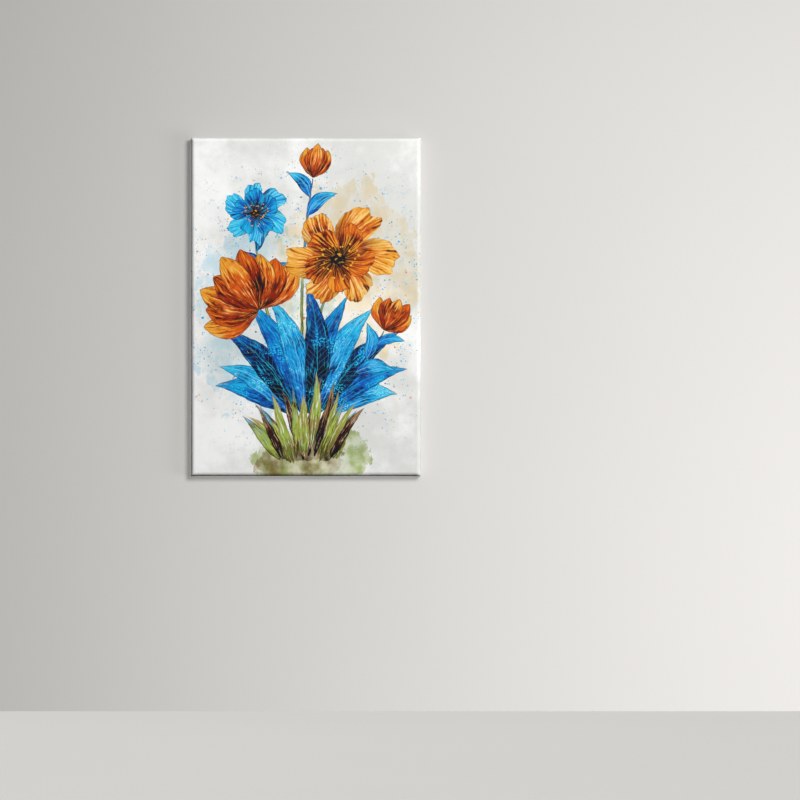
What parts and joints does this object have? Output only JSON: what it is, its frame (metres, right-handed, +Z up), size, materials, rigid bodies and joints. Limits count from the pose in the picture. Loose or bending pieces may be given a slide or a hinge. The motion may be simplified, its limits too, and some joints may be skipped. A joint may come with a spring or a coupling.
{
  "type": "stretched canvas print",
  "caption": "Portrait canvas print wrapped round a keyed pine stretcher frame, with a cross brace, a sawtooth hanger and felt wall bumpers. It hangs flat on a wall.",
  "frame": {"origin": "the middle notch of the sawtooth hanger, where it sits on the wall's nail, on the wall plane", "axes": "+Z up, -Y out of the wall towards the viewer, +X to the viewer's right; the wall is the plane y = 0"},
  "size_m": [0.68, 0.0407, 1],
  "materials": {
    "cloth": "primed cotton canvas with a satin pigment print on the front and sides, raw weave on the back",
    "pine": "planed, unfinished",
    "beech": "sawn, unfinished",
    "steel": "zinc plated",
    "felt": "pressed felt"
  },
  "bodies": {
    "root": {"canvas_wrap": "cloth", "bar_left": "pine", "bar_top": "pine", "bar_right": "pine", "bar_bottom": "pine", "cross_brace": "pine", "key_left_lower": "beech", "key_left_upper": "beech", "key_top_left": "beech", "key_top_right": "beech", "key_right_lower": "beech", "key_right_upper": "beech", "key_bottom_left": "beech", "key_bottom_right": "beech", "hanger_plate": "steel", "hanger_nail_left": "steel", "hanger_nail_right": "steel", "bumper_left": "felt", "bumper_right": "felt"}
  },
  "joints": []
}
